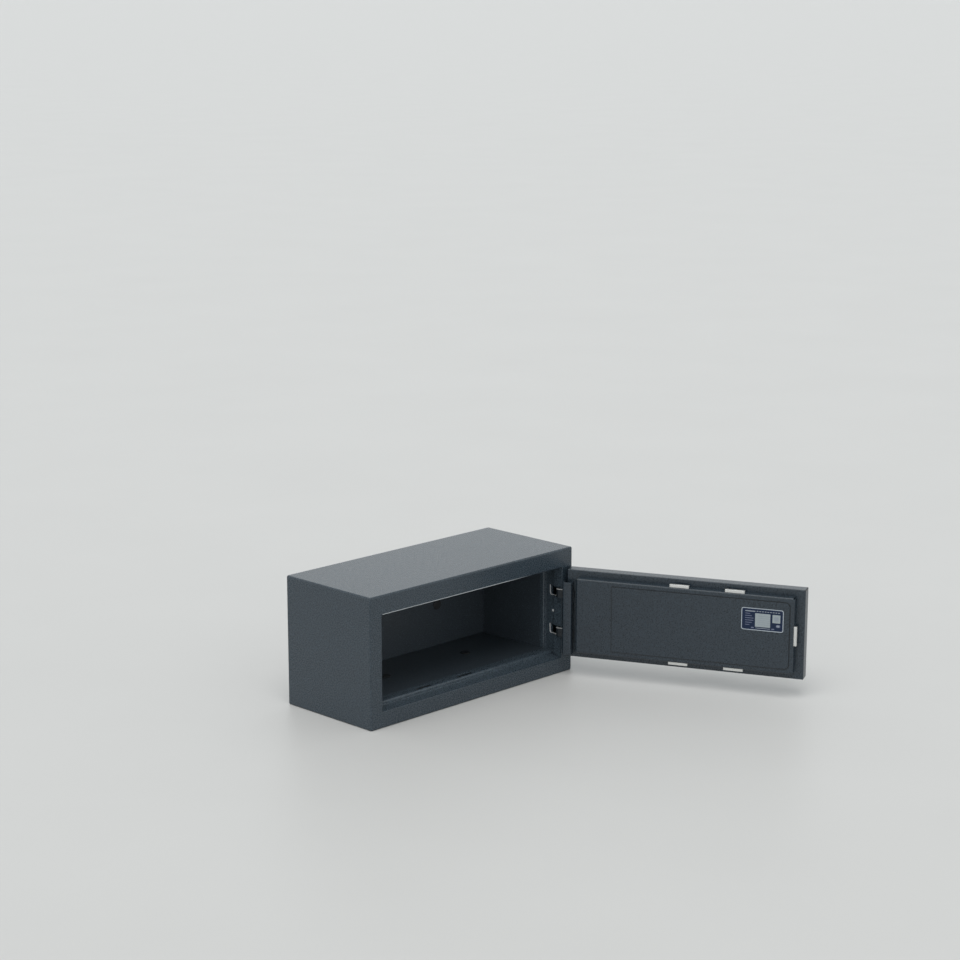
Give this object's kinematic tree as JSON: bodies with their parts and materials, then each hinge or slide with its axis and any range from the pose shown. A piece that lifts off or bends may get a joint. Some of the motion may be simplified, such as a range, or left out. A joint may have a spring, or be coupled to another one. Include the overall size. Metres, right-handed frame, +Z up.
{
  "type": "security safe",
  "caption": "Low rectangular steel safe with an inset door hung on concealed strap hinges, flat sliding bolts, turning knob, key lock and lined inner box.",
  "frame": {"origin": "centre of the cabinet's underside", "axes": "+Z up, -Y out of the front, +X towards the hinge side"},
  "size_m": [0.6812, 0.6185, 0.2335],
  "materials": {
    "body_paint": "fine textured powder coat",
    "liner_paint": "matt powder coat",
    "door_paint": "fine textured powder coat",
    "zinc_plate": "zinc plated, brushed",
    "bare_steel": "machined",
    "chrome_plate": "satin chrome",
    "lock_brass": "machined",
    "black_plastic": "moulded",
    "barrier_filling": "cast"
  },
  "bodies": {
    "cabinet": {"cabinet_shell": "body_paint", "back_plate": "body_paint", "sill_jamb": "body_paint", "head_jamb": "body_paint", "left_jamb": "body_paint", "right_jamb": "body_paint", "liner_wrap": "liner_paint", "liner_back": "liner_paint", "filling_bottom": "barrier_filling", "filling_top": "barrier_filling", "filling_back": "barrier_filling", "filling_left": "barrier_filling", "filling_right": "barrier_filling", "floor_plug_left": "black_plastic", "floor_plug_right": "black_plastic", "back_plug_left": "black_plastic", "back_plug_right": "black_plastic", "hinge_bracket_lower": "bare_steel", "hinge_bracket_upper": "bare_steel", "hinge_pin_lower": "bare_steel", "hinge_pin_upper": "bare_steel", "jamb_screw": "zinc_plate"},
    "door": {"door_pan": "door_paint", "lock_box": "door_paint", "lock_cover": "door_paint", "hinge_bar": "door_paint", "hinge_strap_lower": "door_paint", "hinge_strap_upper": "door_paint", "slide_stud_free_side": "bare_steel", "slide_stud_hinge_side": "bare_steel", "upper_stud_free_side": "bare_steel", "upper_stud_hinge_side": "bare_steel", "lower_stud_free_side": "bare_steel", "lower_stud_hinge_side": "bare_steel", "handle_rose": "chrome_plate", "lock_case": "bare_steel", "key_shield": "chrome_plate"},
    "bolt_slide": {"main_slide": "zinc_plate", "side_bolt": "zinc_plate"},
    "upper_bolts": {"upper_carrier": "zinc_plate", "upper_bolt_free_side": "zinc_plate", "upper_bolt_hinge_side": "zinc_plate"},
    "lower_bolts": {"lower_carrier": "zinc_plate", "lower_bolt_free_side": "zinc_plate", "lower_bolt_hinge_side": "zinc_plate"},
    "handle": {"handle_knob": "chrome_plate", "spindle": "bare_steel", "crank_disc": "bare_steel"},
    "key": {"key_core": "lock_brass"},
    "lock_bolt": {"lock_bolt": "lock_brass"},
    "key_cover": {"key_cover": "chrome_plate"}
  },
  "joints": [
    {"name": "door_hinge", "type": "hinge", "parent": "cabinet", "child": "door", "pos_m": [0.2325, -0.097, 0.11425], "axis": [0, 0, 1], "range_deg": [-115, 0]},
    {"name": "bolt_slide", "type": "slide", "parent": "door", "child": "bolt_slide", "axis": [0.4226, -0.9063, 0], "range_m": [0, 0.011]},
    {"name": "upper_bolts", "type": "slide", "parent": "door", "child": "upper_bolts", "axis": [0, 0, 1], "range_m": [0, 0.011]},
    {"name": "lower_bolts", "type": "slide", "parent": "door", "child": "lower_bolts", "axis": [0, 0, -1], "range_m": [0, 0.011]},
    {"name": "handle_turn", "type": "hinge", "parent": "door", "child": "handle", "pos_m": [0.35802, -0.34488, 0.11575], "axis": [0.9063, 0.4226, 0], "range_deg": [0, 60]},
    {"name": "key_turn", "type": "hinge", "parent": "door", "child": "key", "pos_m": [0.29961, -0.21963, 0.08575], "axis": [0.9063, 0.4226, 0], "range_deg": [0, 90]},
    {"name": "lock_bolt", "type": "slide", "parent": "door", "child": "lock_bolt", "axis": [0, 0, 1], "range_m": [0, 0.007]},
    {"name": "key_cover_swing", "type": "hinge", "parent": "door", "child": "key_cover", "pos_m": [0.30233, -0.21836, 0.09575], "axis": [0.9063, 0.4226, 0], "range_deg": [-100, 100]}
  ],
  "couplings": [
    {"joint": "upper_bolts", "follows": "bolt_slide", "ratio": 1},
    {"joint": "lower_bolts", "follows": "bolt_slide", "ratio": 1},
    {"joint": "handle_turn", "follows": "bolt_slide", "rad_per_m": 95.199},
    {"joint": "key_turn", "follows": "lock_bolt", "rad_per_m": 224.4}
  ]
}
